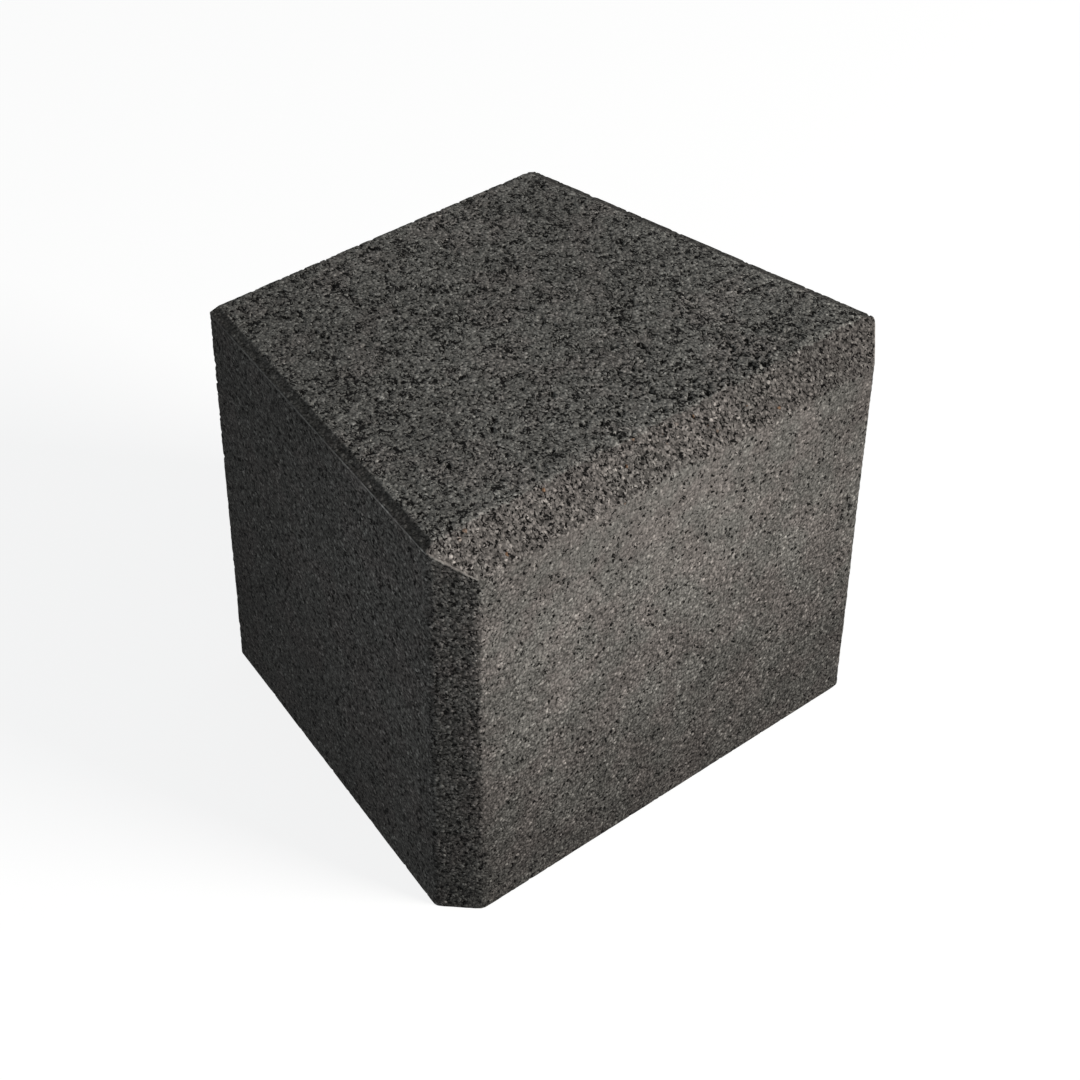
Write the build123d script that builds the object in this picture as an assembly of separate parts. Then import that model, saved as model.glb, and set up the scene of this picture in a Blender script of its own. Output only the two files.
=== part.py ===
from build123d import *
import os

# Garden edging block: one pressed concrete block, wider at its front than at its back, so that a row of
# blocks can follow a curve. It stands on its flat base. The front faces -Y and the top faces +Z.
# The origin is the middle of the base. All sizes are in millimetres.

# Body: the front width is measured as if the front corners were sharp
front_width = 200.0
back_width = 146.5
depth = 160.0
height = 156.0

# Slanted band along the top of the front: its drop below the top and its run back from the front face
front_band_drop = 11.0
front_band_run = 13.4

# Upright bevels at the two front corners: what each takes off the front face and off the depth
corner_bevel_across = 13.3
corner_bevel_back = 11.6

# Narrow sloping margins along the two sides of the top
side_margin_drop = 1.2
side_margin_width = 3.8


def wedge_plan():
    """Plan of the block, seen from above, with its two front corners cut off."""
    front_y = -depth / 2
    back_y = depth / 2
    taper_per_mm = (front_width - back_width) / 2 / depth
    side_start_x = front_width / 2 - taper_per_mm * corner_bevel_back
    front_end_x = front_width / 2 - corner_bevel_across
    return Polyline(
        (-front_end_x, front_y),
        (front_end_x, front_y),
        (side_start_x, front_y + corner_bevel_back),
        (back_width / 2, back_y),
        (-back_width / 2, back_y),
        (-side_start_x, front_y + corner_bevel_back),
        close=True,
    )


def front_band_cutter():
    """What is taken off along the top of the front, right across the block and its corner bevels."""
    front_y = -depth / 2
    section = Polyline(
        (front_y, height - front_band_drop),
        (front_y + front_band_run, height),
        (front_y - front_band_run, height + front_band_drop),
        (front_y - front_band_run, height - front_band_drop),
        close=True,
    )
    return extrude(Plane.YZ * make_face(section), amount=front_width, both=True)


def side_margin_cutter():
    """What is taken off along the top of the +X side, which runs inwards towards the back."""
    front_corner = Vector(front_width / 2, -depth / 2, height)
    back_corner = Vector(back_width / 2, depth / 2, height)
    forwards = (front_corner - back_corner).normalized()
    outwards = Vector(0, 0, 1).cross(forwards)
    # The section is square to the side face: x points out of the face, and y up from the top
    section = Polyline(
        (0, -side_margin_drop),
        (-side_margin_width, 0),
        (side_margin_width, side_margin_drop),
        (side_margin_width, -side_margin_drop),
        close=True,
    )
    # It starts one depth behind the block and ends about one depth in front of it
    start = Plane(origin=back_corner - forwards * depth, x_dir=outwards, z_dir=forwards)
    return extrude(start * make_face(section), amount=3 * depth)


def make_edging_block():
    """The wedge with its front band and its two side margins."""
    body = extrude(make_face(wedge_plan()), amount=height)
    right_margin = side_margin_cutter()
    left_margin = mirror(right_margin, about=Plane.YZ)
    return body - front_band_cutter() - right_margin - left_margin


edging_block = make_edging_block()
edging_block.label = "edging_block"

os.makedirs("parts", exist_ok=True)
export_step(edging_block, "parts/edging_block.step")
print("volume in litres", edging_block.volume / 1e6)
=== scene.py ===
import math

import bpy
import numpy as np
from mathutils import Matrix, Vector

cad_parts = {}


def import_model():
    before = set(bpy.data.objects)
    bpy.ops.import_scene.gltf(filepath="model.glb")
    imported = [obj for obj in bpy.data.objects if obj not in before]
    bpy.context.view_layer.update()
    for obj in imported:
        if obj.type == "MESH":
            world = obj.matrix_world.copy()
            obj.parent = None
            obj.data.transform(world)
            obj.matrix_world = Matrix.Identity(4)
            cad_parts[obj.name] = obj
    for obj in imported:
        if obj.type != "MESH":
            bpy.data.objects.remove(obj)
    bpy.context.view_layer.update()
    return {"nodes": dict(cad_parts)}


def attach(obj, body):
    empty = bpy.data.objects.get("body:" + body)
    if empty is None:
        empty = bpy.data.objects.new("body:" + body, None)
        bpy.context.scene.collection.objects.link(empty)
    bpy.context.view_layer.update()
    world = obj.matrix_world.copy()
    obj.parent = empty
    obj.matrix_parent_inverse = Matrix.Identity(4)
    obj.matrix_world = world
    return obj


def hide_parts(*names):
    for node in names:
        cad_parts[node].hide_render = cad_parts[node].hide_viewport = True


# Garden edging block of pressed grey concrete, on a pale studio floor.
# Lengths are in millimetres until they reach Blender, whose unit here is the metre.
MM = 0.001

# Mesh of the block
GRID_STEP = 0.75
MOST_TRIANGLES = 192_000
CHART_GAP = 3.0
ROW_ROOM = 1.12

# Arrises: a greater sharpness is a smaller radius
FRONT_SHARPNESS = 1.8
BACK_SHARPNESS = 6.0
MARGIN_SHARPNESS = 8.0
CREST_SHARPNESS = 2.5
RIM_SHARPNESS = 6.0

# Flat faces of the CAD block: how far a normal points along an axis, and when two faces are one
SQUARE = 0.99
NEARLY_SQUARE = 0.9
SLANTED = 0.5
SAME_DIRECTION = 0.9999
SAME_OFFSET = 0.1

# Faces of the block, and what differs from one to the next
ZONES = ("top", "band", "margin", "front", "corner", "side", "back", "base")
# Partly painted light and shade: each face's brightness is set to the tone it shows under these lamps,
# and the margin strip is darkened as painted shade
BRIGHTNESS = {
    "top": 1.24, "band": 1.1, "margin": 0.46, "front": 1.19,
    "corner": 0.88, "side": 1.05, "back": 1.05, "base": 1.0,
}
# How much one sand grain's shade differs from the next
SAND_CONTRAST = {
    "top": 0.95, "band": 1.1, "margin": 1.15, "front": 0.95,
    "corner": 1.2, "side": 1.25, "back": 0.95, "base": 1.0,
}
# Height of the unevenness, then of the grain
ROUGHNESS = {
    "top": 0.3, "band": 0.5, "margin": 0.2, "front": 0.4,
    "corner": 0.5, "side": 0.25, "back": 0.4, "base": 0.0,
}
GRAIN_HEIGHT = {
    "top": 0.06, "band": 0.16, "margin": 0.06, "front": 0.10,
    "corner": 0.18, "side": 0.08, "back": 0.10, "base": 0.0,
}
# Added to a noise that opens where it is high, so a greater value opens more
PIT_ABUNDANCE = {
    "top": 0.01, "band": -0.1, "margin": -0.04, "front": -0.04,
    "corner": -0.06, "side": -0.07, "back": -0.03, "base": -0.2,
}
SPECK_ABUNDANCE = {
    "top": 0.0, "band": 0.05, "margin": -0.06, "front": -0.02,
    "corner": 0.04, "side": 0.0, "back": -0.02, "base": -0.1,
}
CURVE_ABUNDANCE = {
    "top": 0.055, "band": 0.0, "margin": -0.3, "front": -0.04,
    "corner": -0.01, "side": -0.08, "back": -0.05, "base": -0.3,
}
# Share of the cells that hold a pore, then a factor on the pores' radius
PORE_SHARE = {
    "top": 0.5, "band": 0.45, "margin": 0.35, "front": 0.42,
    "corner": 0.8, "side": 0.74, "back": 0.42, "base": 0.1,
}
PORE_SIZE = {
    "top": 0.9, "band": 0.75, "margin": 0.7, "front": 0.8,
    "corner": 0.85, "side": 1.0, "back": 0.8, "base": 0.7,
}
# Added to the share of the pinker cement
WARMTH = {
    "top": -0.4, "band": 0.7, "margin": -0.4, "front": 0.1,
    "corner": -0.1, "side": -0.4, "back": 0.1, "base": 0.0,
}
# Painted shade: how much darker a face is towards its foot
FOOT_SHADE = {
    "top": 0.0, "band": 0.0, "margin": 0.0, "front": 0.57,
    "corner": 0.3, "side": 0.22, "back": 0.35, "base": 0.3,
}
# How much brighter the lip is than the face it is on, partly as paler cement and partly as a painted
# highlight
LIP_SHINE = {
    "top": 0.0, "band": 0.8, "margin": 0.0, "front": 0.0,
    "corner": 1.8, "side": 3.2, "back": 0.0, "base": 0.0,
}
# Half the width over which one face's finish passes into the next
LIMIT_WIDTH = {
    "top": 0.35, "band": 0.35, "margin": 0.35, "front": 1.2,
    "corner": 1.2, "side": 1.2, "back": 1.2, "base": 0.5,
}
LEAST_SHARE = 0.001
# Mesh attributes, of three numbers each: a vertex's place among the zones and its distance from the rim
LEAD_NAMES = ("lead_caps", "lead_walls", "lead_others")

# A range below is two values of what is measured, then the results there where they aren't 0 and 1.
# A name that ends in X, Y or Z is a range along that axis.

# The band's limits are ragged, though not at the rim, where the corners' and sides' finish ends
RAG_SIZE = 3.0
RAGGEDNESS = {"band": 6.0, "top": -8.0, "front": -5.0}
NEAR_BAND = (-5.0, -2.5)
OFF_RIM = (0.5, 2.5)
BELOW_CAPS = (-0.3, 0.3, 1.0, 0.0)

# The front is smoothest below the band, left of its middle
SMOOTH_LEFT_X = (-80.0, -40.0)
SMOOTH_RIGHT_X = (5.0, 50.0, 1.0, 0.1)
SMOOTH_Z = (96.0, 138.0)

# A thin lip runs along the rim, partly paler cement and partly a painted highlight: on the arris round
# the corners, just below it along the sides
LIP_ON_ARRIS = (0.2, 0.65, 1.0, 0.0)
LIP_BEGINS = (0.1, 0.35)
LIP_ENDS = (0.7, 1.0, 1.0, 0.0)
LIP_CLEAR_Y = (0.0, -68.0, 0.35, 1.0)
LIP_BREAK_SIZE = 7.0
LIP_BREAKS = (0.42, 0.58, 0.3, 1.0)

# Each noise is read at a place of its own, so that no two are alike
CLOUD_SHIFT = (7.0, 40.0, 3.0)
PIT_GROUP_SHIFT = (31.0, 5.0, 17.0)
PORE_GROUP_SHIFT = (12.0, 70.0, 9.0)
PORE_SHIFT = (60.0, 8.0, 22.0)
SPECK_SHIFT = (3.0, 44.0, 71.0)
CURVE_SHIFT = (81.0, 14.0, 52.0)
CURVE_GROUP_SHIFT = (19.0, 33.0, 6.0)
# Factors on the place, which make marks longer along Y
TORN = (1.0, 0.72, 1.0)

# Pits between the grains, with more of them at the front's foot and on the right of the band's crest
PIT_SIZE = 1.9
PIT_CUT = (0.66, 0.69)
PIT_GROUP_SIZE = 13.0
PIT_GROUPING = 0.14
FOOT_PITS = 0.04
FOOT_PITS_Z = (60.0, 5.0)
CREST_PITS = 0.08
CREST_BAND_Y = (-74.0, -68.0)
CREST_TOP_Y = (-30.0, -64.0)
CREST_LEFT_X = (-25.0, 15.0)
CREST_RIGHT_X = (45.0, 85.0, 1.0, 0.3)

# Pores, with their radii and their soft limit as parts of their spacing
PORE_SPACING = 1.9
PORE_RADII = (0.18, 0.46)
PORE_LIMIT = (-0.05, 0.06)
PORE_CHOICE = (-0.02, 0.02)
PORE_DEPTHS = (0.0, 0.7, 0.4, 1.0)
PORE_BEND_SIZE = 1.2
PORE_BEND = 1.0
PORE_GROUP_SIZE = 9.0
PORE_GROUPING = 2.1
SMOOTH_PORES = -0.15

# Finest gaps between the sand grains: specks, and short curves in loose groups
SPECK_SIZE = 1.0
SPECK_CUT = (0.63, 0.67)
CURVE_SIZE = 2.1
CURVE_WIDTH = (0.03, 0.075, 1.0, 0.0)
CURVE_GROUP_SIZE = 4.2
CURVE_CUT = (0.57, 0.61)

# Relief of the mesh
SWELL_SIZE = 34.0
SWELL_HEIGHT = 0.4
ROUGH_SIZE = 5.0
GRAIN_SIZE = 1.7
GRAIN_GAP = (0.15, 0.75)
CRUMB_SIZE = 4.0
CRUMB_CUT = (0.57, 0.7)
CRUMB_REACH = (0.1, 1.6, 1.0, 0.0)
CRUMB_DEPTH = 0.5
MARGIN_REACH = (0.0, 0.6)
MARGIN_DEPTH = 0.3
PIT_DEPTH = 0.9
PORE_DEPTH = 0.3
SKIN_DEPTH = 0.12
LEAST_DEPTH = 0.02

# Cement: plain grey and pinker grey in patches, with broad clouds, and a foot darkened by painted shade
PLAIN_CEMENT = (0.157, 0.152, 0.141, 1)
PINKER_CEMENT = (0.168, 0.153, 0.143, 1)
PINK_SIZE = 20.0
PINK_CUT = (0.40, 0.62)
CLOUD_SIZE = 30.0
CLOUD_SHADES = (0.3, 0.7, 0.9, 1.1)
FOOT_Z = (-10.0, 118.0, 1.0, 0.0)
FOOT_WANDER = 50.0

# Painted light and shade: lighter and darker parts of the faces, the change of brightness in each, and
# where it lies
SHADING = {
    "right_end": -0.18, "right_edge": -0.12, "painted_light_patch": 0.06, "top_front": 0.08, "rear_edge": -0.2,
    "side_foot": -0.14, "crest": 0.14, "rear_side": -0.26, "rear_left": -0.17, "painted_edge_highlight": 0.25,
}
RIGHT_END_X = (0.0, 90.0)
RIGHT_END_Z = (60.0, 130.0)
RIGHT_END_OF_BAND = 1.3
RIGHT_EDGE_X = (62.0, 88.0)
# A painted pool of light on the front, round this middle along X and Z
PATCH_X_AND_Z = (-32.0, 84.0)
PATCH_REACH_SQUARED = (150.0, 2400.0, 1.0, 0.0)
TOP_FRONT_Y = (20.0, -45.0)
REAR_EDGE_Y = (60.0, 78.0)
REAR_SIDE_Y = (-70.0, 60.0)
SIDE_FOOT_SLOPE = 0.5
SIDE_FOOT_REACH = (50.0, 0.0)
CREST_REACH = (-5.0, -1.0)
CREST_SIDE_END = (0.2, -0.2)
REAR_LEFT_SLOPE = 0.6
REAR_LEFT_REACH = (-10.0, -110.0)
# A painted highlight along the top's edge by the margin
EDGE_HIGHLIGHT_REACH = (-5.0, -0.5)
EDGE_HIGHLIGHT_Y = (40.0, -60.0, 0.5, 1.0)

# Sand: cells for the grains and a finer speckle, each with its part in the shade
SAND_SIZE = 1.15
SAND_MEAN = 0.45
SAND_SHADE = 0.6
SPECKLE_SIZE = 0.85
SPECKLE_RANGE = (0.32, 0.68, -0.5, 0.5)
SPECKLE_SHADE = 0.7
JOINT_RANGE = (0.42, 0.75)
JOINT_SHADE = 0.5
PALE_GRAINS = (0.88, 0.91)
PALE_SHADE = 0.7
RUSTY_GRAINS = (0.993, 0.996)
RUST = (0.20, 0.12, 0.075, 1)
LIP_CALM = 0.7
SMOOTH_CALM = 0.25
FOOT_SAND = 0.4

# Hollows darkened with painted shade, sheen, and relief finer than the mesh holds
HOLLOW_SHADE = 0.03
DULLNESS_SIZE = 1.5
DULLNESS = (0.3, 0.7, 0.82, 0.96)
SHEEN = 0.1
GRIT_RANGE = (0.1, 0.7, 1.0, 0.0)
GRIT_HEIGHT = 0.22
SPECKLE_HEIGHT = 0.10
HOLLOW_DEPTH = 0.5
BUMP_STRENGTH = 0.8

# Camera, from the photograph's perspective
SENSOR_WIDTH = 36.0
LENS = 78.67
NEAREST_SEEN = 10.0
FARTHEST_SEEN = 50_000.0
CAMERA_AZIMUTH = -41.26
CAMERA_ELEVATION = 39.04
CAMERA_ROLL = 0.62
CAMERA_DISTANCE = 840.4
AIM_RIGHT = 5.38
AIM_UP = -9.25

# Studio
BLOCK_MIDDLE = Vector((0, 0, 78.0))
KEY_AZIMUTH = 30.0
KEY_ELEVATION = 21.0
KEY_DISTANCE = 2200.0
KEY_SIZE = 940.0
KEY_LEVEL = 1.08
KEY_COLOUR = (1.0, 0.97, 0.92)
CARD_AZIMUTH = -72.0
CARD_ELEVATION = 10.0
CARD_DISTANCE = 470.0
CARD_SIZE = 260.0
CARD_LEVEL = 0.08
CARD_COLOUR = (0.93, 0.97, 1.0)
FILL_LEVEL = 0.2
FILL_COLOUR = (0.88, 0.95, 1.0, 1)
WHITE = (1, 1, 1, 1)
FLOOR_REACH = 12_000.0
FLOOR_UNSEEN = (0.14, 0.14, 0.15, 1)
FLOOR_SEEN = (0.30, 0.30, 0.30, 1)
FLOOR_GLOW = 0.84


# Smooth form of the block


def zone_of(normal):
    """Which of the block's faces has this outward normal."""
    _, y, z = normal
    if z > SQUARE:
        return "top"
    if z < -SQUARE:
        return "base"
    if z > NEARLY_SQUARE:
        return "margin"
    if z > SLANTED:
        return "band"
    if y < -SQUARE:
        return "front"
    if y > SQUARE:
        return "back"
    return "corner" if y < -SLANTED else "side"


def cad_planes(node):
    """The zone, outward normal and offset of each flat face of the CAD block."""
    planes = []
    for face in node.data.polygons:
        normal = np.array(face.normal, float)
        corner = np.array(node.data.vertices[face.vertices[0]].co, float) / MM
        offset = float(normal @ corner)
        known = any(
            normal @ other > SAME_DIRECTION and abs(offset - distance) < SAME_OFFSET
            for _, other, distance in planes
        )
        if not known:
            planes.append((zone_of(normal), normal, offset))
    return planes


def soft_max(distances, sharpness):
    """A rounded greatest value down the rows, and each row's share in it."""
    peak = distances.max(0)
    grown = np.exp(sharpness * (distances - peak))
    total = grown.sum(0)
    return peak + np.log(total) / sharpness, grown / total


def join(groups, sharpness):
    """One rounded group from several. A group is a gap and its planes' shares in it."""
    gap, parts = soft_max(np.stack([gap for gap, _ in groups]), sharpness)
    shares = {i: part * share for part, (_, own) in zip(parts, groups) for i, share in own.items()}
    return gap, shares


class RoundedBlock:
    """The CAD block with rounded arrises: softest round the front, sharpest round the top and back."""

    def __init__(self, planes):
        self.zones = [zone for zone, _, _ in planes]
        self.normals = np.array([normal for _, normal, _ in planes])
        self.offsets = np.array([offset for _, _, offset in planes])

    def rows(self, *names):
        return [i for i, zone in enumerate(self.zones) if zone in names]

    def gaps(self, points):
        """Signed distance of the points from each plane, positive outside."""
        return self.normals @ points.T - self.offsets[:, None]

    def leads(self, points):
        """How far the points are inside each zone's limits, negative outside them."""
        gaps = self.gaps(points)
        inside = []
        for i, normal in enumerate(self.normals):
            # Two faces part at the plane midway between them
            rivals = [j for j in range(len(gaps)) if j != i]
            spread = np.linalg.norm(normal - self.normals[rivals], axis=1)
            inside.append(((gaps[i] - gaps[rivals]) / spread[:, None]).min(0))
        return np.stack([np.max([inside[i] for i in self.rows(zone)], axis=0) for zone in ZONES])

    def measure(self, points):
        """Signed distance from the rounded surface, outward direction and each plane's share."""
        single = [(gap, {i: 1.0}) for i, gap in enumerate(self.gaps(points))]

        def faces(*names):
            return [single[i] for i in self.rows(*names)]

        round_front = join(faces("front", "corner", "side"), FRONT_SHARPNESS)
        walls = join([round_front, *faces("back")], BACK_SHARPNESS)
        level = join(faces("top", "margin"), MARGIN_SHARPNESS)
        cap = join([level, *faces("band")], CREST_SHARPNESS)
        gap, shares = join([walls, cap, *faces("base")], RIM_SHARPNESS)
        shares = np.stack([shares[i] for i in range(len(self.zones))])
        return gap, shares.T @ self.normals, shares

    def settle(self, points, rounds=6):
        """Moves the points onto the rounded surface, along its outward direction."""
        for _ in range(rounds):
            gap, outward, _ = self.measure(points)
            points = points - outward * (gap / (outward**2).sum(1))[:, None]
        return points

    def plane(self, zone):
        """Normal and offset of a face, the one at +X where there are two."""
        row = max(self.rows(zone), key=lambda i: self.normals[i][0])
        return (*self.normals[row], self.offsets[row])

    def x_on(self, zone, y, z=0.0):
        nx, ny, nz, offset = self.plane(zone)
        return (offset - ny * y - nz * z) / nx

    def y_on(self, zone, z=0.0):
        _, ny, nz, offset = self.plane(zone)
        return (offset - nz * z) / ny

    def z_on(self, zone, x=0.0, y=0.0):
        nx, ny, nz, offset = self.plane(zone)
        return (offset - nx * abs(x) - ny * y) / nz


def even_steps(stops, lengths, step):
    """Values from the first stop to the last that meet each stop, about a step apart."""
    spans = zip(stops, stops[1:], lengths)
    parts = [np.linspace(a, b, max(1, round(length / step)), endpoint=False) for a, b, length in spans]
    return np.append(np.concatenate(parts), stops[-1])


def grid_plan(block, across, along):
    """Place in plan of the grid line across (-2 to 2) and along (0 to 2).

    Across, 1 is the margin's inner line and 2 the side. Along, 0 is the front outline with its
    corner bevels, 1 the crest of the band and 2 the back.
    """
    height = block.z_on("top")

    def x_at(y):
        inner = block.x_on("margin", y, height)
        margin = block.x_on("side", y) - inner
        distance = np.abs(across)
        return np.minimum(distance, 1) * inner + np.maximum(distance - 1, 0) * margin

    # Each line across is straight, and starts where it meets the front or a corner bevel
    beyond = [x_at(y) - block.x_on("corner", y) for y in (0.0, 1.0)]
    start = np.maximum(block.y_on("front"), beyond[0] / (beyond[0] - beyond[1]))
    crest, back = block.y_on("band", height), block.y_on("back")
    y = start + np.minimum(along, 1) * (crest - start) + np.maximum(along - 1, 0) * (back - crest)
    return np.sign(across) * x_at(y), y


def block_grid(block, step):
    """Points and outward quads of a closed grid whose lines follow the arrises of the block."""
    height = block.z_on("top")
    front, crest, back = block.y_on("front"), block.y_on("band", height), block.y_on("back")
    inner = block.x_on("margin", front, height)
    margin = block.x_on("side", front) - inner
    bevel_start = block.x_on("corner", front)
    bevel = inner - bevel_start
    lines = [-2, -1, -bevel_start / inner, bevel_start / inner, 1, 2]
    across = even_steps(lines, [margin, bevel, 2 * bevel_start, bevel, margin], step)
    along = even_steps([0, 1, 2], [crest - front, back - crest], step)
    up = even_steps([0, 1], [height], step)
    nx, ny, nz = len(across) - 1, len(along) - 1, len(up) - 1
    i, j, k = np.meshgrid(range(nx + 1), range(ny + 1), range(nz + 1), indexing="ij")
    outside = (i % nx == 0) | (j % ny == 0) | (k % nz == 0)
    number = np.full(outside.shape, -1, np.int32)
    number[outside] = np.arange(outside.sum())
    x, y = grid_plan(block, across[i[outside]], along[j[outside]])
    roof = np.minimum(np.minimum(height, block.z_on("band", x, y)), block.z_on("margin", x, y))
    points = np.stack([x, y, up[k[outside]] * roof], 1)
    quads = []
    for axis in range(3):
        for end in (0, -1):
            face = np.take(number, end, axis)
            ring = [face[:-1, :-1], face[1:, :-1], face[1:, 1:], face[:-1, 1:]]
            # The corners run anticlockwise seen from outside
            if (end == 0) != (axis == 1):
                ring.reverse()
            quads.append(np.stack(ring, -1).reshape(-1, 4))
    return points, np.concatenate(quads)


def mesh_of(name, points, faces):
    """A mesh from points in millimetres and faces with equally many corners."""
    mesh = bpy.data.meshes.new(name)
    mesh.vertices.add(len(points))
    mesh.vertices.foreach_set("co", (points * MM).astype(np.float32).ravel())
    mesh.loops.add(faces.size)
    mesh.loops.foreach_set("vertex_index", faces.astype(np.int32).ravel())
    mesh.polygons.add(len(faces))
    starts = np.arange(len(faces), dtype=np.int32) * faces.shape[1]
    mesh.polygons.foreach_set("loop_start", starts)
    mesh.update(calc_edges=True)
    return mesh


def write_vectors(mesh, name, vectors):
    """Stores a vector for each vertex."""
    layer = mesh.attributes.new(name, "FLOAT_VECTOR", "POINT")
    layer.data.foreach_set("vector", vectors.astype(np.float32).ravel())


def write_leads(mesh, block, points):
    """Stores how far each vertex is inside each face's limits, and its distance from the rim.

    The rim is the arris below the band and the margins, along the corner bevels and the sides.
    """
    gaps = block.gaps(points)
    caps = gaps[block.rows("band", "margin")].max(0)
    walls = gaps[block.rows("corner", "side")].max(0)
    rows = np.concatenate([block.leads(points), -np.minimum(caps, walls)[None]])
    for number, name in enumerate(LEAD_NAMES):
        write_vectors(mesh, name, rows[3 * number:3 * number + 3].T)


# Node graphs, for materials and for the relief of the mesh alike


class Graph:
    """Adds nodes to a tree and wires them. A value is a socket or a plain number."""

    def __init__(self, tree):
        self.tree = tree

    def put(self, kind, inputs=(), **settings):
        node = self.tree.nodes.new(kind)
        for name, value in settings.items():
            setattr(node, name, value)
        for name, value in dict(inputs).items():
            self.feed(node.inputs[name], value)
        return node

    def feed(self, socket, value):
        if isinstance(value, bpy.types.NodeSocket):
            self.tree.links.new(value, socket)
        else:
            socket.default_value = value

    def math(self, operation, *values):
        node = self.put("ShaderNodeMath", operation=operation)
        for socket, value in zip(node.inputs, values):
            self.feed(socket, value)
        return node.outputs[0]

    def chain(self, operation, values):
        result = values[0]
        for value in values[1:]:
            result = self.math(operation, result, value)
        return result

    def add(self, *values):
        return self.chain("ADD", values)

    def times(self, *values):
        return self.chain("MULTIPLY", values)

    def most(self, *values):
        return self.chain("MAXIMUM", values)

    def less(self, a, b):
        return self.math("SUBTRACT", a, b)

    def ramp(self, value, low, high, start=0.0, end=1.0):
        """Eases from start to end as the value goes from low to high."""
        inputs = {"Value": value, "From Min": low, "From Max": high, "To Min": start, "To Max": end}
        return self.put("ShaderNodeMapRange", inputs, interpolation_type="SMOOTHSTEP").outputs[0]

    def split(self, vector):
        return self.put("ShaderNodeSeparateXYZ", {0: vector}).outputs

    def scale(self, vector, factor):
        inputs = {0: vector, "Scale": factor}
        return self.put("ShaderNodeVectorMath", inputs, operation="SCALE").outputs[0]

    def shifted(self, vector, offset):
        return self.put("ShaderNodeVectorMath", {0: vector, 1: offset}, operation="ADD").outputs[0]

    def stretched(self, vector, factors):
        return self.put("ShaderNodeVectorMath", {0: vector, 1: factors}, operation="MULTIPLY").outputs[0]

    def noise(self, where, size, detail=2.0, roughness=0.5, distortion=0.0):
        """Cloudy noise whose features are about size across."""
        inputs = {
            "Vector": where, "Scale": 1 / size, "Detail": detail,
            "Roughness": roughness, "Distortion": distortion,
        }
        return self.put("ShaderNodeTexNoise", inputs).outputs[0]

    def swing(self, where, size, **settings):
        """The same noise, about 0."""
        return self.less(self.noise(where, size, **settings), 0.5)

    def warped(self, where, size, reach):
        """The place moved about by up to reach, by noise of the given size."""
        inputs = {"Vector": where, "Scale": 1 / size, "Detail": 1.0}
        sway = self.put("ShaderNodeTexNoise", inputs).outputs["Color"]
        centred = self.shifted(sway, (-0.5, -0.5, -0.5))
        return self.shifted(where, self.scale(centred, 2 * reach))

    def cells(self, where, size):
        """Cells about size across: the distance to each cell's middle, and its own colour."""
        node = self.put("ShaderNodeTexVoronoi", {"Vector": where, "Scale": 1 / size})
        return node.outputs["Distance"], node.outputs["Color"]

    def blend(self, factor, a, b):
        """Mixes two colours, by sockets that share their names with others and so go by number."""
        node = self.put("ShaderNodeMix", {0: factor, 6: a, 7: b}, data_type="RGBA", clamp_factor=True)
        return node.outputs[2]


class Zones:
    """How much a place belongs to each face, 0 to 1. The band's limits are ragged."""

    def __init__(self, g, rest, read):
        leads = [part for name in LEAD_NAMES for part in g.split(read(name))]
        self.g = g
        self.rim = leads.pop()
        self.lead = dict(zip(ZONES, leads))
        self.edge = g.most(*leads)
        near_band = g.ramp(self.lead["band"], *NEAR_BAND)
        off_rim = g.ramp(self.rim, *OFF_RIM)
        sway = g.times(g.swing(rest, RAG_SIZE, detail=3.0, roughness=0.6), near_band, off_rim)
        caps = g.most(*(self.lead[zone] for zone in ("top", "band", "margin")))
        below_caps = g.ramp(caps, *BELOW_CAPS)
        shares = []
        for zone in ZONES:
            moved = g.add(self.lead[zone], g.times(sway, RAGGEDNESS.get(zone, 0.0)))
            share = g.ramp(moved, -LIMIT_WIDTH[zone], LIMIT_WIDTH[zone])
            shares.append(g.times(share, below_caps) if zone in ("corner", "side") else share)
        total = g.most(g.add(*shares), LEAST_SHARE)
        self.share = {zone: g.math("DIVIDE", share, total) for zone, share in zip(ZONES, shares)}
        x, _, z = g.split(rest)
        across = g.times(g.ramp(x, *SMOOTH_LEFT_X), g.ramp(x, *SMOOTH_RIGHT_X))
        self.smooth = g.times(self.share["front"], g.ramp(z, *SMOOTH_Z), across)

    def mix(self, values):
        """The value of the zone that a place is in."""
        return self.g.add(*(self.g.times(self.share[zone], values[zone]) for zone in ZONES))


def lip_and_highlight(g, zones):
    """1 on the thin lip, 0 elsewhere. Its brightness is partly paler cement and partly a painted
    highlight.
    """
    on_arris = g.ramp(zones.rim, *LIP_ON_ARRIS)
    below = g.times(g.ramp(zones.rim, *LIP_BEGINS), g.ramp(zones.rim, *LIP_ENDS))
    round_corner = g.times(on_arris, g.add(zones.share["band"], zones.share["corner"]))
    return g.add(round_corner, g.times(below, zones.share["side"]))


def open_pits(g, rest, zones):
    """1 inside the pits left between the grains, 0 on the skin."""
    x, y, z = g.split(rest)
    groups = g.swing(g.shifted(rest, PIT_GROUP_SHIFT), PIT_GROUP_SIZE)
    marks = g.noise(g.stretched(rest, TORN), PIT_SIZE, distortion=0.9)
    upper_band = g.times(g.ramp(y, *CREST_BAND_Y), zones.share["band"])
    near_crest = g.times(g.ramp(y, *CREST_TOP_Y), g.add(zones.share["top"], upper_band))
    crest = g.times(g.ramp(x, *CREST_LEFT_X), g.ramp(x, *CREST_RIGHT_X), near_crest)
    foot = g.times(g.ramp(z, *FOOT_PITS_Z), zones.share["front"])
    openness = g.add(
        zones.mix(PIT_ABUNDANCE),
        g.times(foot, FOOT_PITS),
        g.times(crest, CREST_PITS),
        g.times(groups, PIT_GROUPING),
    )
    return g.ramp(g.add(marks, openness), *PIT_CUT)


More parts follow.
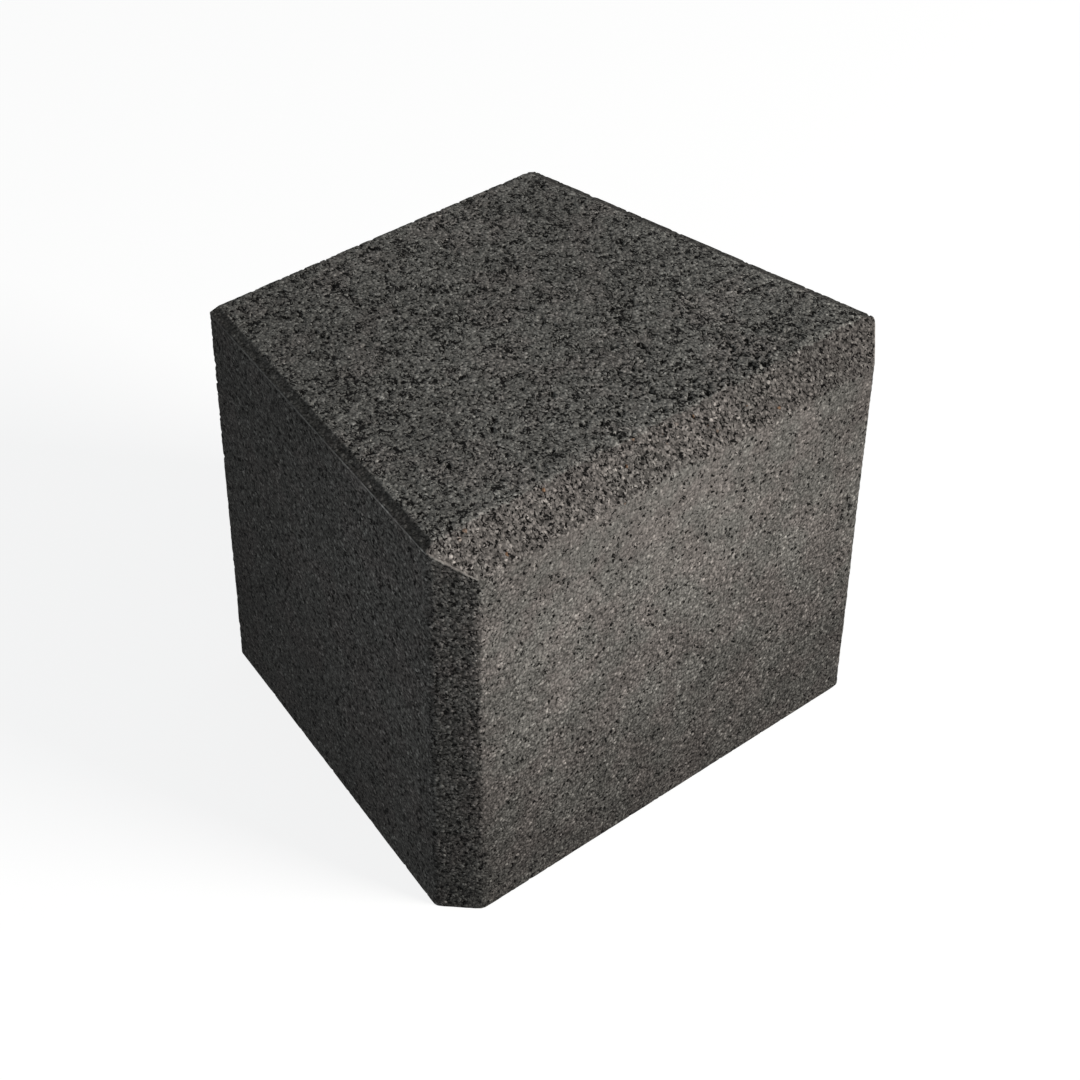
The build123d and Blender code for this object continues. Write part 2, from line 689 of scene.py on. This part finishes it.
def open_pores(g, rest, zones):
    """Up to 1 inside the small dark pores, less in the shallow ones, 0 on the skin."""
    groups = g.swing(g.shifted(rest, PORE_GROUP_SHIFT), PORE_GROUP_SIZE, detail=3.0, roughness=0.6)
    where = g.warped(g.shifted(rest, PORE_SHIFT), PORE_BEND_SIZE, PORE_BEND)
    distance, shade = g.cells(where, PORE_SPACING)
    wide, chosen, deep = g.split(shade)
    share = g.add(
        zones.mix(PORE_SHARE),
        g.times(groups, PORE_GROUPING),
        g.times(zones.smooth, SMOOTH_PORES),
    )
    radius = g.times(g.ramp(wide, 0.0, 1.0, *PORE_RADII), zones.mix(PORE_SIZE))
    present = g.ramp(g.less(share, chosen), *PORE_CHOICE)
    inside = g.ramp(g.less(radius, distance), *PORE_LIMIT)
    return g.times(inside, present, g.ramp(deep, *PORE_DEPTHS))


def open_gaps(g, rest, zones):
    """1 in the finest dark gaps, specks and short curves between the sand grains, 0 on the skin."""
    where = g.stretched(g.shifted(rest, SPECK_SHIFT), TORN)
    marks = g.noise(where, SPECK_SIZE, detail=1.0, distortion=0.8)
    specks = g.ramp(g.add(marks, zones.mix(SPECK_ABUNDANCE)), *SPECK_CUT)
    where = g.stretched(g.shifted(rest, CURVE_SHIFT), TORN)
    from_line = g.math("ABSOLUTE", g.swing(where, CURVE_SIZE, detail=1.0, distortion=0.7))
    lines = g.ramp(from_line, *CURVE_WIDTH)
    groups = g.noise(g.shifted(rest, CURVE_GROUP_SHIFT), CURVE_GROUP_SIZE, detail=3.0, roughness=0.7)
    curves = g.times(lines, g.ramp(g.add(groups, zones.mix(CURVE_ABUNDANCE)), *CURVE_CUT))
    return g.most(specks, curves)


def relief(g, rest, zones):
    """Height of the surface, never above 0."""
    swell = g.swing(rest, SWELL_SIZE, detail=1.0)
    rough = g.swing(rest, ROUGH_SIZE, detail=3.0, roughness=0.6)
    distance, _ = g.cells(rest, GRAIN_SIZE)
    off_lip = g.less(1.0, lip_and_highlight(g, zones))
    loose = g.ramp(g.noise(rest, CRUMB_SIZE, detail=3.0, roughness=0.6), *CRUMB_CUT)
    crumbs = g.times(loose, g.ramp(zones.edge, *CRUMB_REACH))
    depth = g.add(
        g.times(swell, SWELL_HEIGHT),
        g.times(rough, zones.mix(ROUGHNESS)),
        g.times(g.ramp(distance, *GRAIN_GAP), zones.mix(GRAIN_HEIGHT)),
        g.times(open_pits(g, rest, zones), PIT_DEPTH),
        g.times(open_pores(g, rest, zones), PORE_DEPTH),
        g.times(crumbs, CRUMB_DEPTH),
        g.times(g.ramp(zones.lead["margin"], *MARGIN_REACH), MARGIN_DEPTH),
        SKIN_DEPTH,
    )
    above_base = g.less(1.0, zones.share["base"])
    return g.times(g.most(g.times(depth, off_lip), LEAST_DEPTH), above_base, -1.0)


# Concrete body


def relief_group():
    """Geometry nodes that push a mesh in along its outward direction by the relief."""
    tree = bpy.data.node_groups.new("block relief", "GeometryNodeTree")
    tree.interface.new_socket("Geometry", in_out="INPUT", socket_type="NodeSocketGeometry")
    tree.interface.new_socket("Geometry", in_out="OUTPUT", socket_type="NodeSocketGeometry")
    g = Graph(tree)

    def read(name):
        node = g.put("GeometryNodeInputNamedAttribute", {"Name": name}, data_type="FLOAT_VECTOR")
        return node.outputs[0]

    rest = g.scale(g.put("GeometryNodeInputPosition").outputs[0], 1 / MM)
    zones = Zones(g, rest, read)
    height = relief(g, rest, zones)
    offset = g.scale(read("outward"), g.times(height, MM))
    start = g.put("NodeGroupInput").outputs[0]
    moved = g.put("GeometryNodeSetPosition", {"Geometry": start, "Offset": offset})
    g.put("NodeGroupOutput", {0: moved.outputs[0]})
    return tree


def place(name, mesh):
    piece = bpy.data.objects.new(name, mesh)
    bpy.context.scene.collection.objects.link(piece)
    return piece


def settled_mesh(piece):
    """The object's mesh with its modifiers applied."""
    depsgraph = bpy.context.evaluated_depsgraph_get()
    return bpy.data.meshes.new_from_object(piece.evaluated_get(depsgraph), depsgraph=depsgraph)


def face_corners(mesh):
    corners = np.empty(len(mesh.loops), np.int32)
    mesh.loops.foreach_get("vertex_index", corners)
    return corners.reshape(-1, 3)


def lay_out_map(mesh, block, rest):
    """A UV map with one flat chart for each face of the block, all at one scale."""
    corners = face_corners(mesh)
    _, _, shares = block.measure(rest[corners].mean(1))
    chart_of = shares.argmax(0)
    flat = np.zeros((len(corners), 3, 2))
    charts = []
    for chart, normal in enumerate(block.normals):
        own = chart_of == chart
        across = np.cross([0, 0, 1], normal) if abs(normal[2]) < SQUARE else np.array([1.0, 0, 0])
        across /= np.linalg.norm(across)
        up = np.cross(normal, across)
        flat[own] = rest[corners[own]] @ np.stack([across, up], 1)
        flat[own] -= flat[own].min((0, 1))
        charts.append((flat[own].max((0, 1)), own))
    gap = CHART_GAP
    row_limit = ROW_ROOM * math.sqrt(sum(np.prod(size + gap) for size, _ in charts))
    x, y, row_height, widest = gap, gap, 0.0, 0.0
    for size, own in sorted(charts, key=lambda chart: -chart[0][1]):
        if x + size[0] + gap > row_limit:
            x, y, row_height = gap, y + row_height + gap, 0.0
        flat[own] += [x, y]
        x += size[0] + gap
        widest = max(widest, x)
        row_height = max(row_height, size[1])
    side = max(widest, y + row_height + gap)
    layer = mesh.uv_layers.new(name="OFBake")
    layer.data.foreach_set("uv", (flat / side).astype(np.float32).ravel())


def concrete_body(cad_node):
    """The pressed block as one closed mesh, with its pits, grit and worn arrises."""
    block = RoundedBlock(cad_planes(cad_node))
    sharp, quads = block_grid(block, GRID_STEP)
    points = block.settle(sharp)
    fine = place("fine_block", mesh_of("fine_block", points, quads))
    write_leads(fine.data, block, points)
    _, outward, _ = block.measure(points)
    write_vectors(fine.data, "outward", outward / np.linalg.norm(outward, axis=1)[:, None])
    relief_step = fine.modifiers.new("relief", "NODES")
    relief_step.node_group = relief_group()
    thinning = fine.modifiers.new("thinning", "DECIMATE")
    thinning.ratio = MOST_TRIANGLES / (2 * len(quads))
    thinning.use_collapse_triangulate = True
    mesh = settled_mesh(fine)
    bpy.data.objects.remove(fine)
    for name in ("outward", *LEAD_NAMES):
        if name in mesh.attributes:
            mesh.attributes.remove(mesh.attributes[name])
    places = np.empty(len(mesh.vertices) * 3, np.float32)
    mesh.vertices.foreach_get("co", places)
    # Thinning may push a vertex out of the CAD box by some hundredths of a millimetre
    places = (places.reshape(-1, 3).astype(float) / MM).clip(sharp.min(0), sharp.max(0))
    mesh.vertices.foreach_set("co", (places * MM).astype(np.float32).ravel())
    rest = block.settle(places)
    write_vectors(mesh, "rest", rest)
    write_leads(mesh, block, rest)
    lay_out_map(mesh, block, rest)
    mesh.polygons.foreach_set("use_smooth", np.ones(len(mesh.polygons), bool))
    mesh.update()
    print("triangles in the block", len(mesh.polygons))
    return place("pressed_block", mesh)


def shaded_places(g, rest, zones):
    """How much a place belongs to each of the parts of the faces that painted light and shade make
    lighter and darker.
    """
    x, y, z = g.split(rest)
    own = zones.share
    upper_front = g.times(g.ramp(z, *RIGHT_END_Z), own["front"])
    end_parts = g.add(upper_front, g.times(own["band"], RIGHT_END_OF_BAND))
    patch_gaps = [g.less(value, middle) for value, middle in zip((x, z), PATCH_X_AND_Z)]
    patch_distance = g.add(*(g.times(gap, gap) for gap in patch_gaps))
    side_foot = g.add(z, g.times(y, SIDE_FOOT_SLOPE))
    rear_left = g.less(x, g.times(y, REAR_LEFT_SLOPE))
    near_band = g.ramp(zones.lead["band"], *CREST_REACH)
    off_margin = g.ramp(zones.lead["margin"], *CREST_SIDE_END)
    near_margin = g.ramp(zones.lead["margin"], *EDGE_HIGHLIGHT_REACH)
    return {
        "right_end": g.times(g.ramp(x, *RIGHT_END_X), end_parts),
        "right_edge": g.times(g.ramp(x, *RIGHT_EDGE_X), own["front"]),
        "painted_light_patch": g.times(g.ramp(patch_distance, *PATCH_REACH_SQUARED), own["front"]),
        "top_front": g.times(g.ramp(y, *TOP_FRONT_Y), own["top"]),
        "rear_edge": g.times(g.ramp(y, *REAR_EDGE_Y), own["side"]),
        "side_foot": g.times(g.ramp(side_foot, *SIDE_FOOT_REACH), own["side"]),
        "crest": g.times(near_band, off_margin, own["top"]),
        "rear_side": g.times(g.ramp(y, *REAR_SIDE_Y), own["side"]),
        "rear_left": g.times(g.ramp(rear_left, *REAR_LEFT_REACH), own["top"]),
        # Painted highlight along the top's edge by the margin
        "painted_edge_highlight": g.times(near_margin, g.ramp(y, *EDGE_HIGHLIGHT_Y), own["top"]),
    }


def concrete_material():
    """Grey pressed concrete: mottled cement, sand grains, pits darkened with painted shade, a lip along
    the rim that is partly paler cement and partly a painted highlight, and broad painted light and
    shade.
    """
    material = bpy.data.materials.new("pressed concrete")
    material.use_nodes = True
    tree = material.node_tree
    tree.nodes.clear()
    g = Graph(tree)

    def read(name):
        return g.put("ShaderNodeAttribute", attribute_name=name).outputs["Vector"]

    rest = read("rest")
    zones = Zones(g, rest, read)
    _, y, z = g.split(rest)

    # Cement
    patches = g.noise(rest, PINK_SIZE, detail=4.0, roughness=0.6)
    cement = g.blend(g.add(g.ramp(patches, *PINK_CUT), zones.mix(WARMTH)), PLAIN_CEMENT, PINKER_CEMENT)
    clouds = g.noise(g.shifted(rest, CLOUD_SHIFT), CLOUD_SIZE, detail=4.0, roughness=0.6)
    # Painted shade towards the floor; the same foot mask also roughens the front's sand
    foot = g.ramp(g.add(z, g.times(g.less(clouds, 0.5), FOOT_WANDER)), *FOOT_Z)
    places = shaded_places(g, rest, zones)
    # Painted light and shade: each face's brightness, its darker foot and the broad lighter and darker
    # parts; the clouds are the cement's own mottling
    level = g.times(
        g.ramp(clouds, *CLOUD_SHADES),
        g.less(1.0, g.times(foot, zones.mix(FOOT_SHADE))),
        *(g.add(1.0, g.times(places[name], change)) for name, change in SHADING.items()),
        zones.mix(BRIGHTNESS),
    )

    # Sand: each grain has its own shade, and a few are pale or rusty
    lip = lip_and_highlight(g, zones)
    distance, shade = g.cells(rest, SAND_SIZE)
    dark_or_light, tint, rare = g.split(shade)
    calm = g.most(g.times(lip, LIP_CALM), g.times(zones.smooth, SMOOTH_CALM))
    rough_foot = g.add(1.0, g.times(foot, zones.share["front"], FOOT_SAND))
    contrast = g.times(zones.mix(SAND_CONTRAST), g.less(1.0, calm), rough_foot)
    speckle = g.ramp(g.noise(g.stretched(rest, TORN), SPECKLE_SIZE, roughness=0.6), *SPECKLE_RANGE)
    sand = g.add(1.0, g.times(g.less(dark_or_light, SAND_MEAN), contrast, SAND_SHADE))
    fine = g.add(1.0, g.times(speckle, contrast, SPECKLE_SHADE))
    joints = g.less(1.0, g.times(g.ramp(distance, *JOINT_RANGE), contrast, JOINT_SHADE))
    pale = g.add(1.0, g.times(g.ramp(rare, *PALE_GRAINS), contrast, PALE_SHADE))
    rust = g.times(g.ramp(tint, *RUSTY_GRAINS), zones.share["band"])

    # Hollows darkened with painted shade, and the lip with its painted highlight
    open_parts = g.most(open_pits(g, rest, zones), open_pores(g, rest, zones), open_gaps(g, rest, zones))
    skin = g.less(1.0, g.times(open_parts, g.less(1.0, lip)))
    # Painted shade: the pits, pores and gaps are darkened nearly to black
    hollow_painted_shade = g.ramp(skin, 0.0, 1.0, HOLLOW_SHADE, 1.0)
    whole = g.ramp(g.noise(rest, LIP_BREAK_SIZE, detail=3.0, roughness=0.7), *LIP_BREAKS)
    clear = g.times(g.ramp(y, *LIP_CLEAR_Y), whole)
    # The lip's brightening: partly paler cement, partly a painted highlight
    lip_shine = g.add(1.0, g.times(lip, clear, zones.mix(LIP_SHINE)))

    total = g.times(level, sand, fine, joints, pale, hollow_painted_shade, lip_shine)
    shader = g.put("ShaderNodeBsdfPrincipled", {
        "Base Color": g.scale(g.blend(rust, cement, RUST), total),
        "Roughness": g.ramp(g.noise(rest, DULLNESS_SIZE), *DULLNESS),
        "Specular IOR Level": SHEEN,
    })

    # Finer relief than the mesh holds
    grit = g.times(g.ramp(distance, *GRIT_RANGE), contrast, GRIT_HEIGHT)
    height = g.add(grit, g.times(speckle, contrast, SPECKLE_HEIGHT), g.times(skin, HOLLOW_DEPTH))
    bump = g.put("ShaderNodeBump", {"Height": height, "Distance": MM, "Strength": BUMP_STRENGTH})
    g.feed(shader.inputs["Normal"], bump.outputs[0])
    g.put("ShaderNodeOutputMaterial", {"Surface": shader.outputs[0]})
    return material


# Studio


def looks_white(g):
    """1 for rays that should meet the white background: the camera's, mirrored and passed on."""
    path = g.put("ShaderNodeLightPath").outputs
    seen = g.add(path["Is Camera Ray"], path["Is Glossy Ray"], path["Is Transmission Ray"])
    return g.math("MINIMUM", seen, 1.0)


def pale_floor():
    """A pale floor that shows nearly white and keeps a soft shadow."""
    reach = FLOOR_REACH * MM
    mesh = bpy.data.meshes.new("floor")
    corners = [(-reach, -reach, 0), (reach, -reach, 0), (reach, reach, 0), (-reach, reach, 0)]
    mesh.from_pydata(corners, [], [(0, 1, 2, 3)])
    floor = place("floor", mesh)
    material = bpy.data.materials.new("pale floor")
    material.use_nodes = True
    material.node_tree.nodes.clear()
    g = Graph(material.node_tree)
    dim = g.put("ShaderNodeBsdfDiffuse", {"Color": FLOOR_UNSEEN})
    pale = g.put("ShaderNodeBsdfDiffuse", {"Color": FLOOR_SEEN})
    glow = g.put("ShaderNodeEmission", {"Color": WHITE, "Strength": FLOOR_GLOW})
    lit = g.put("ShaderNodeAddShader", {0: pale.outputs[0], 1: glow.outputs[0]})
    both = g.put("ShaderNodeMixShader", {0: looks_white(g), 1: dim.outputs[0], 2: lit.outputs[0]})
    g.put("ShaderNodeOutputMaterial", {"Surface": both.outputs[0]})
    mesh.materials.append(material)


def white_surroundings():
    """World light at the fill level, seen as plain white."""
    world = bpy.data.worlds.new("studio")
    bpy.context.scene.world = world
    world.use_nodes = True
    world.node_tree.nodes.clear()
    g = Graph(world.node_tree)
    fill = g.put("ShaderNodeBackground", {"Color": FILL_COLOUR, "Strength": FILL_LEVEL})
    white = g.put("ShaderNodeBackground", {"Color": WHITE, "Strength": 1.0})
    both = g.put("ShaderNodeMixShader", {0: looks_white(g), 1: fill.outputs[0], 2: white.outputs[0]})
    g.put("ShaderNodeOutputWorld", {"Surface": both.outputs[0]})


def direction(azimuth, elevation):
    """Unit vector from the block towards an azimuth, 0 being in front of it, and an elevation."""
    a, e = math.radians(azimuth), math.radians(elevation)
    return Vector((math.sin(a) * math.cos(e), -math.cos(a) * math.cos(e), math.sin(e)))


def softbox(name, azimuth, elevation, distance, size, level, colour):
    """A square lamp. At level 1, a surface that faces it shows its colour as written."""
    lamp = bpy.data.lights.new(name, "AREA")
    lamp.shape = "SQUARE"
    lamp.size = size * MM
    lamp.energy = level * math.pi**2 * (distance * MM) ** 2
    lamp.color = colour
    piece = place(name, lamp)
    towards = direction(azimuth, elevation)
    piece.location = (BLOCK_MIDDLE + towards * distance) * MM
    piece.rotation_euler = towards.to_track_quat("Z", "Y").to_euler()
    piece.visible_camera = False


def photo_camera():
    """The photograph's viewpoint, turn and lens."""
    back = direction(CAMERA_AZIMUTH, CAMERA_ELEVATION)
    a, roll = math.radians(CAMERA_AZIMUTH), math.radians(CAMERA_ROLL)
    level_right = Vector((math.cos(a), math.sin(a), 0))
    level_up = back.cross(level_right)
    right = math.cos(roll) * level_right + math.sin(roll) * level_up
    up = math.cos(roll) * level_up - math.sin(roll) * level_right
    eye = BLOCK_MIDDLE + right * AIM_RIGHT + up * AIM_UP + back * CAMERA_DISTANCE
    camera = bpy.data.cameras.new("camera")
    camera.sensor_width = SENSOR_WIDTH
    camera.lens = LENS
    camera.clip_start = NEAREST_SEEN * MM
    camera.clip_end = FARTHEST_SEEN * MM
    piece = place("camera", camera)
    turn = Matrix((right, up, back)).transposed().to_4x4()
    piece.matrix_world = Matrix.Translation(eye * MM) @ turn
    bpy.context.scene.camera = piece


def main():
    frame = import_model()
    block = concrete_body(frame["nodes"]["edging_block"])
    block.data.materials.clear()
    block.data.materials.append(concrete_material())
    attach(block, "root")
    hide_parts("edging_block")
    pale_floor()
    white_surroundings()
    softbox("key", KEY_AZIMUTH, KEY_ELEVATION, KEY_DISTANCE, KEY_SIZE, KEY_LEVEL, KEY_COLOUR)
    softbox("card", CARD_AZIMUTH, CARD_ELEVATION, CARD_DISTANCE, CARD_SIZE, CARD_LEVEL, CARD_COLOUR)
    photo_camera()
    bpy.context.scene.view_settings.view_transform = "Standard"


main()
